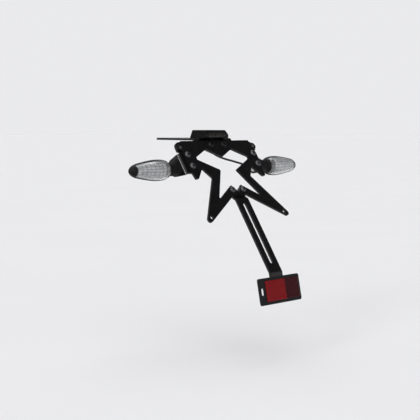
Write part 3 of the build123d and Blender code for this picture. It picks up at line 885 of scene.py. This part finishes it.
@dataclass
class Reflector:
    """The red reflector on the arm's foot, all lengths in millimetres.

    Args:
        plane: The number plate's plane.
        bend_v: Place of the arm's lower bend down the plate.
        bend: Angle of that bend in degrees.
        along: Distance of the reflector's middle below the bend.
        base: Thickness of the base.
        lens_proud: Height of the lens above the base.
        lens_thick: Thickness of the lens.
        lens_left: X of the lens's left side.
        lens_right: X of its right side.
        lens_half_height: Half its height.
        columns: Number of prisms across.
        rows: Number of prisms up and down.
        prism: Height of a prism.
        rim: Width of the smooth rim.
        soft_edge: Size of the bevel on the lens's edges.
        edge_steps: Steps of that bevel.
        nut_seat: Depth of the nut's seat behind the tab's rear face.
    """

    plane: NumberPlatePlane
    bend_v: float = 200.4
    bend: float = 21.4
    along: float = 23.8
    base: float = 3.0
    lens_proud: float = 1.2
    lens_thick: float = 2.4
    lens_left: float = -29.65
    lens_right: float = 38.05
    lens_half_height: float = 13.95
    columns: int = 36
    rows: int = 15
    prism: float = 0.45
    rim: float = 1.2
    soft_edge: float = 0.8
    edge_steps: int = 2
    nut_seat: float = 4.0

    def place(self) -> Matrix:
        """Frame on the tab's rear face, with Z out of the lens.

        Returns:
            The frame in the part.
        """
        turn = math.radians(self.bend)
        down, out = self.plane.down(), self.plane.outward()
        tab_down = down * math.cos(turn) - out * math.sin(turn)
        tab_out = out * math.cos(turn) + down * math.sin(turn)
        middle = self.plane.point(0.0, self.bend_v) + tab_down * self.along * MM
        return frame_facing(middle, tab_out)

    def build(self) -> None:
        """Model the lens and the nut behind it."""
        self.lens()
        seat = self.place() @ Matrix.Translation((0.0, 0.0, -self.nut_seat * MM))
        HexNuts("reflector_hex_nut", "reflector_nut", SHEET_NUT, [seat]).build()

    def lens(self) -> bpy.types.Object:
        """The lens: a field of prisms in a smooth rim.

        Returns:
            The dressed lens.
        """
        top = (self.base + self.lens_proud) * MM
        middle = (self.lens_left + self.lens_right) / 2 * MM
        width = (self.lens_right - self.lens_left) * MM
        thick = self.lens_thick * MM
        bpy.ops.object.select_all(action="DESELECT")
        bpy.ops.mesh.primitive_cube_add(size=1.0, location=(middle, 0.0, top - thick / 2))
        lens = Workbench.named("reflector_prism_lens")
        lens.scale = (width, 2 * self.lens_half_height * MM, thick)
        Workbench.settle(lens)
        bpy.ops.object.mode_set(mode="EDIT")
        bpy.ops.mesh.select_all(action="SELECT")
        bpy.ops.mesh.bevel(offset=self.soft_edge * MM, segments=self.edge_steps)
        self.sink_field(lens, top)
        self.raise_prisms(lens, top - self.prism * MM)
        bpy.ops.object.mode_set(mode="OBJECT")
        Workbench.settle(lens, self.place())
        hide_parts("reflector_lens")
        return Workbench.dress(lens, Slot.RED, angle=10.0)

    @staticmethod
    def level(part: bmesh.types.BMEdge | bmesh.types.BMFace, height: float) -> bool:
        """Whether every point of an edge or a face lies at a height in metres."""
        return all(abs(vert.co.z - height) < LEVEL_GAP for vert in part.verts)

    @staticmethod
    def runs(edge: bmesh.types.BMEdge, axis: int) -> bool:
        """Whether an edge runs along X, axis 0, or along Y, axis 1."""
        run = edge.verts[1].co - edge.verts[0].co
        return abs(run[axis]) > RUNNING * run.length

    def sink_field(self, lens: bpy.types.Object, top: float) -> None:
        """Inset the lens's upper face and sink it by a prism's height.

        Args:
            lens: The lens, in edit mode.
            top: Height of the upper face in metres.
        """
        Workbench.pick(lens, Pick.FACES, lambda face: self.level(face, top))
        bpy.ops.mesh.inset(thickness=self.rim * MM, depth=0.0)
        bpy.ops.mesh.extrude_region_move(
            TRANSFORM_OT_translate={"value": (0.0, 0.0, -self.prism * MM)}
        )

    def raise_prisms(self, lens: bpy.types.Object, floor: float) -> None:
        """Divide the sunk field into cells and draw each up to a low pyramid.

        Args:
            lens: The lens, in edit mode.
            floor: Height of the field in metres.
        """
        for axis, cells in ((0, self.columns), (1, self.rows)):
            Workbench.pick(
                lens, Pick.EDGES,
                lambda edge: self.level(edge, floor) and self.runs(edge, axis),
            )
            bpy.ops.mesh.subdivide(number_cuts=cells - 1)
        Workbench.pick(lens, Pick.FACES, lambda face: self.level(face, floor))
        bpy.ops.mesh.poke(offset=self.prism * MM)


@dataclass
class Indicator:
    """One stalk indicator: its inner prisms, its seal and its nut, in millimetres.

    Args:
        side: Which side it is on.
        lens_wall: Wall of the clear cover.
        prism_gap: Gap between the cover and the prisms.
        prism_thick: Thickness of the prism shell.
        inner_margin: Length left free at the end near the bike.
        outer_margin: Length left free at the far end.
        open_angle: Angle that the shell fills round the axis, in degrees.
        reeds: Number of pads round the shell.
        reed_steps: Faces across each pad.
        reed_depth: Depth of the grooves along the shell, of its radius.
        stations: Number of points along the shell.
        ring_every: Stations from one groove round the shell to the next.
        ring_depth: Depth of those grooves, of the radius.
        ring_mark: How dark their painted shade is, of that of the grooves along.
        seal_d: Thickness of the seal.
        seal_inset: Depth of the seal's middle below the cover's surface.
        seal_margin: Distance of its ends from those of the cover.
        seal_points: Number of points along each half of it.
        seal_steps: Fineness of its round section.
        split: Distance of the lens's edge behind the axis.
    """

    side: Side
    lens_wall: float = 2.0
    prism_gap: float = 0.7
    prism_thick: float = 0.8
    inner_margin: float = 9.0
    outer_margin: float = 3.0
    open_angle: float = 150.0
    reeds: int = 7
    reed_steps: int = 6
    reed_depth: float = 0.07
    stations: int = 29
    ring_every: int = 4
    ring_depth: float = 0.03
    # Share of painted shade in the grooves round the shell.
    ring_mark: float = 0.45
    seal_d: float = 1.1
    seal_inset: float = 0.25
    seal_margin: float = 0.3
    seal_points: int = 28
    seal_steps: int = 3
    split: float = 2.0

    def build(self) -> None:
        """Model the pieces that the solids leave out."""
        self.prisms()
        self.seal()
        self.nut()

    def axis(self) -> Vector:
        """A point on the indicator's axis, at its bulb's middle."""
        low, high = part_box(self.side.node("indicator_bulb"))
        return (low + high) / 2

    def profile(self, count: int, inner: float, outer: float) -> list[tuple[float, float]]:
        """Outer radius of the clear cover at even stations along its axis.

        Args:
            count: Number of stations.
            inner: Margin at the end near the bike, in millimetres.
            outer: Margin at the far end, in millimetres.

        Returns:
            (x, radius) pairs from the inner end outwards, in metres.
        """
        cover = self.side.node("indicator_lens")
        middle = self.axis()
        low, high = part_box(cover)
        start, end = (low.x, high.x) if self.side is Side.RIGHT else (high.x, low.x)
        start += inner * MM * self.side.value
        end -= outer * MM * self.side.value
        rings = []
        for vert in frame["nodes"][cover].data.vertices:
            radius = math.hypot(vert.co.y - middle.y, vert.co.z - middle.z)
            rings.append((round(vert.co.x, X_DIGITS), radius))
        reach = abs(end - start) / (count - 1) * STATION_REACH
        made = []
        for index in range(count):
            x = start + (end - start) * index / (count - 1)
            made.append((x, max(radius for at, radius in rings if abs(at - x) < reach)))
        return made

    def prisms(self) -> bpy.types.Object:
        """The grooved inner lens, spun round the axis behind the clear cover.

        Returns:
            The dressed shell.
        """
        middle = self.axis()
        half = math.radians(self.open_angle / 2)
        setback = (self.lens_wall + self.prism_gap) * MM
        stations = self.profile(self.stations, self.inner_margin, self.outer_margin)
        rays = [(x, radius - setback) for x, radius in stations]
        points = [
            Vector((x, middle.y - ray * math.cos(half), middle.z + ray * math.sin(half)))
            for x, ray in rays
        ]
        piece = Workbench.trace(self.side.node("indicator_prisms"), points)
        bpy.ops.mesh.select_all(action="SELECT")
        # The operator counts its angle the other way round the axis.
        bpy.ops.mesh.spin(steps=self.reeds * self.reed_steps, angle=-2 * half, center=middle,
                          axis=(1.0, 0.0, 0.0))
        self.press_grooves(piece, half, [x for x, _ in stations])
        bpy.ops.object.mode_set(mode="OBJECT")
        Workbench.clean(piece)
        Workbench.apply(piece, "SOLIDIFY", thickness=self.prism_thick * MM, offset=0.0)
        return Workbench.dress(piece, Slot.CLEAR, angle=40.0, finish=FROSTED_SHEEN_AND_GROOVE_SHADE)

    def press_grooves(self, piece: bpy.types.Object, half: float, levels: list[float]) -> None:
        """Press grooves along and round the spun shell, so that rounded pads stand between, and
        mark where shade is painted in them.

        Args:
            piece: The shell, in edit mode.
            half: Half the spun angle.
            levels: X of every station of the shell.
        """
        middle = self.axis()
        pitch = 2 * half / (self.reeds * self.reed_steps)
        mesh = bmesh.from_edit_mesh(piece.data)
        # The mark holds the share of painted shade at each point, read by the prisms' finish.
        mark = mesh.verts.layers.float.new(FROSTED_SHEEN_AND_GROOVE_SHADE.mark)
        columns: dict[int, set[int]] = defaultdict(set)
        rows: dict[int, set[int]] = defaultdict(set)
        for vert in mesh.verts:
            turn = math.atan2(vert.co.z - middle.z, middle.y - vert.co.y)
            gaps = [abs(level - vert.co.x) for level in levels]
            column = round((turn + half) / pitch) % self.reed_steps
            row = gaps.index(min(gaps)) % self.ring_every
            columns[column].add(vert.index)
            rows[row].add(vert.index)
            # Painted shade: full in the grooves along the shell, ring_mark in those round it,
            # none on the pads.
            vert[mark] = 1.0 if column == 0 else self.ring_mark if row == 0 else 0.0
        for groups, count, depth in (
            (columns, self.reed_steps, self.reed_depth),
            (rows, self.ring_every, self.ring_depth),
        ):
            for index, members in groups.items():
                share = 1.0 - depth * (1.0 - 2.0 * index / count) ** 2
                Workbench.pick(piece, Pick.POINTS, lambda vert: vert.index in members)
                bpy.ops.transform.resize(value=(1.0, share, share), center_override=middle)

    def seal(self) -> bpy.types.Object:
        """The rubber seal that outlines the lens where it meets the housing.

        Returns:
            The dressed seal.
        """
        middle = self.axis()
        y = middle.y - self.split * MM
        stations = self.profile(self.seal_points, self.seal_margin, self.seal_margin)
        rays = [(x, radius - self.seal_inset * MM) for x, radius in stations]
        upper = [Vector((x, y, middle.z + ray)) for x, ray in rays]
        lower = [Vector((x, y, middle.z - ray)) for x, ray in reversed(rays)]
        name = self.side.node("indicator_seal")
        piece = Workbench.trace(name, upper + lower)
        Workbench.pick(piece, Pick.POINTS, lambda vert: len(vert.link_edges) == 1)
        bpy.ops.mesh.edge_face_add()
        bpy.ops.object.mode_set(mode="OBJECT")
        bpy.ops.object.convert(target="CURVE")
        line = bpy.context.object.data
        line.fill_mode = "FULL"
        line.bevel_depth = self.seal_d / 2 * MM
        line.bevel_resolution = self.seal_steps
        bpy.ops.object.convert(target="MESH")
        piece = Workbench.named(name)
        Workbench.clean(piece)
        return Workbench.dress(piece, Slot.RUBBER, angle=60.0)

    def nut(self) -> bpy.types.Object:
        """The stud's nut behind the wing.

        Returns:
            The dressed nut.
        """
        node = self.side.node("indicator_nut")
        low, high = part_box(node)
        inner = low.x if self.side is Side.RIGHT else high.x
        out, up = Vector((-self.side.value, 0.0, 0.0)), Vector((0.0, 0.0, 1.0))
        middle = self.axis()
        place = frame_at(Vector((inner, middle.y, middle.z)), up.cross(out), up, out)
        return HexNuts(self.side.node("indicator_hex_nut"), node, STALK_NUT, [place]).build()


@dataclass
class Lead:
    """The right indicator's lead, from its stud up through the flange into the lamp.

    Args:
        diameter: Diameter in millimetres.
        length: Length in millimetres; not used.
        round_steps: Fineness of its round section.
        run_steps: Steps from one control point to the next.
        order: Order of the spline.
        route: Control points in metres.
    """

    diameter: float = 3.0
    length: float = 102.0
    round_steps: int = 4
    run_steps: int = 12
    order: int = 3
    route: list[Point] = field(default_factory=lambda: [
        (0.0709, -0.05916, -0.04175),
        (0.057, -0.0578, -0.0388),
        (0.038, -0.0544, -0.0337),
        (0.016, -0.051, -0.0286),
        (0.003, -0.0472, -0.0228),
        (-0.005, -0.036, -0.0105),
        (-0.005, -0.036, 0.0024),
    ])

    def build(self) -> bpy.types.Object:
        """Model the lead as one smooth spline.

        Returns:
            The dressed lead.
        """
        line = bpy.data.curves.new("indicator_lead", "CURVE")
        line.dimensions = "3D"
        line.bevel_depth = self.diameter / 2 * MM
        line.bevel_resolution = self.round_steps
        line.resolution_u = self.run_steps
        line.use_fill_caps = True
        spline = line.splines.new("NURBS")
        spline.points.add(len(self.route) - 1)
        for point, place in zip(spline.points, self.route):
            point.co = (*place, 1.0)
        spline.order_u = self.order
        spline.use_endpoint_u = True
        piece = bpy.data.objects.new("indicator_lead", line)
        bpy.context.collection.objects.link(piece)
        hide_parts("right_indicator_lead")
        Workbench.dress(piece, Slot.LEAD)
        self.route[0]
        return piece


@dataclass(frozen=True)
class FarLight:
    """A soft light from far off, so that the floor is lit evenly.

    Args:
        name: Name of the light.
        direction: Direction from the part towards it.
        spread: Angle that it fills, in degrees.
        strength: Strength in watts per square metre.
    """

    name: str
    direction: Point
    spread: float
    strength: float

    def build(self) -> None:
        """Add the light."""
        bpy.ops.object.light_add(type="SUN")
        lamp = bpy.context.object
        lamp.name = f"{self.name}_light"
        lamp.data.angle = math.radians(self.spread)
        lamp.data.energy = self.strength
        lamp.rotation_euler = Vector(self.direction).to_track_quat("Z", "Y").to_euler()


@dataclass
class Studio:
    """Floor, lights, background and camera.

    Args:
        floor_level: Height of the floor in metres.
        floor_radius: Radius of the floor in metres.
        floor_sides: Number of its sides.
        floor_colour: Colour of the floor.
        floor_dim: Brightness of its dimmer patches, of its colour.
        floor_patch: Patches per metre.
        floor_rough: Roughness of the floor.
        floor_specular: Specular level of the floor.
        lights: The lights.
        sky_low: Colour of the background round the horizon.
        sky_high: Colour of the background overhead.
        sky_ramp: Heights where the one starts to change and where it is the other.
        eye: Place of the camera in metres.
        azimuth: Its bearing in degrees.
        elevation: Its height angle in degrees.
        roll: Its roll in degrees.
        lens: Focal length in millimetres.
        sensor: Width of the sensor in millimetres.
    """

    floor_level: float = -0.3
    floor_radius: float = 30.0
    floor_sides: int = 96
    floor_colour: Colour = (0.80, 0.80, 0.81)
    floor_dim: float = 0.985
    floor_patch: float = 3.0
    floor_rough: float = 0.9
    floor_specular: float = 0.1
    lights: tuple[FarLight, ...] = (
        FarLight("key", (-0.62, -0.45, 0.64), 80.0, 1.7),
        FarLight("edge", (-0.88, -0.14, 0.455), 18.0, 0.9),
        FarLight("top", (0.15, 0.30, 0.94), 60.0, 1.33),
    )
    sky_low: Colour = (0.825, 0.826, 0.845)
    sky_high: Colour = (0.09, 0.09, 0.095)
    sky_ramp: tuple[float, float] = (0.1, 0.55)
    eye: Point = (-1.10749, -1.09178, 0.02026)
    azimuth: float = -46.56
    elevation: float = 4.60
    roll: float = 0.17
    lens: float = 91.87
    sensor: float = 36.0

    def build(self) -> None:
        """Set up the stage round the part."""
        scene = bpy.context.scene
        scene.view_settings.view_transform = "Standard"
        self.floor()
        self.sky(scene)
        for light in self.lights:
            light.build()
        self.camera(scene)

    def floor(self) -> None:
        """A wide pale floor with a faint mottle."""
        bpy.ops.object.select_all(action="DESELECT")
        bpy.ops.mesh.primitive_circle_add(
            vertices=self.floor_sides, radius=self.floor_radius, fill_type="NGON",
            location=(0.0, 0.0, self.floor_level),
        )
        floor = Workbench.named("floor")
        tree = ShaderTree("pale_floor")
        shade = tree.spread(tree.noise(self.floor_patch), 0.0, 1.0)
        dim = tuple(part * self.floor_dim for part in self.floor_colour)
        tree.link(tree.mix(shade, dim, self.floor_colour), tree.shader.inputs["Base Color"])
        tree.shader.inputs["Roughness"].default_value = self.floor_rough
        tree.shader.inputs["Specular IOR Level"].default_value = self.floor_specular
        floor.data.materials.append(tree.material)

    def sky(self, scene: bpy.types.Scene) -> None:
        """A background that is pale round the horizon and dimmer overhead.

        Args:
            scene: The scene.
        """
        world = bpy.data.worlds.new("studio")
        world.use_nodes = True
        nodes, links = world.node_tree.nodes, world.node_tree.links
        coords = nodes.new("ShaderNodeTexCoord")
        parts = nodes.new("ShaderNodeSeparateXYZ")
        ramp = nodes.new("ShaderNodeMapRange")
        ramp.interpolation_type = "SMOOTHSTEP"
        ramp.inputs["From Min"].default_value = self.sky_ramp[0]
        ramp.inputs["From Max"].default_value = self.sky_ramp[1]
        mix = nodes.new("ShaderNodeMix")
        mix.data_type = "RGBA"
        mix.inputs[MIX_FIRST].default_value = (*self.sky_low, 1.0)
        mix.inputs[MIX_SECOND].default_value = (*self.sky_high, 1.0)
        links.new(coords.outputs["Generated"], parts.inputs["Vector"])
        links.new(parts.outputs["Z"], ramp.inputs["Value"])
        links.new(ramp.outputs["Result"], mix.inputs[MIX_SHARE])
        links.new(mix.outputs[MIX_RESULT], nodes["Background"].inputs["Color"])
        scene.world = world

    def camera(self, scene: bpy.types.Scene) -> None:
        """The camera at the photograph's place.

        Args:
            scene: The scene.
        """
        turn = math.radians(self.azimuth)
        rise = math.radians(self.elevation)
        roll = math.radians(self.roll)
        level = math.cos(rise)
        back = Vector((math.sin(turn) * level, -math.cos(turn) * level, math.sin(rise)))
        right = Vector((math.cos(turn), math.sin(turn), 0.0))
        up = right.cross(-back)
        across = right * math.cos(roll) + up * math.sin(roll)
        upright = up * math.cos(roll) - right * math.sin(roll)
        bpy.ops.object.camera_add()
        camera = bpy.context.object
        camera.data.lens = self.lens
        camera.data.sensor_width = self.sensor
        camera.matrix_world = frame_at(Vector(self.eye), across, upright, back)
        scene.camera = camera


def dress_solids() -> None:
    """Give every carried-over solid the finish of its slot, or its own."""
    for part in frame["record"]["subparts"]:
        solid = frame["nodes"][part["node"]]
        finish = OWN_FINISHES.get(part["node"], FINISHES[Slot(part["material_slot"])])
        solid.data.materials.clear()
        solid.data.materials.append(finish.material())
        log.info("solid %s in %s", part["node"], finish.name)


def main() -> None:
    """Build the looks in order."""
    logging.basicConfig(level=logging.INFO, format="%(message)s")
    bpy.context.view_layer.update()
    dress_solids()
    plane = NumberPlatePlane()
    Lead().build()
    SheetNuts(plane).build()
    HoleSleeves(plane).build()
    Reflector(plane).build()
    for side in Side:
        Indicator(side).build()
    Studio().build()


if __name__ == "__main__":
    main()
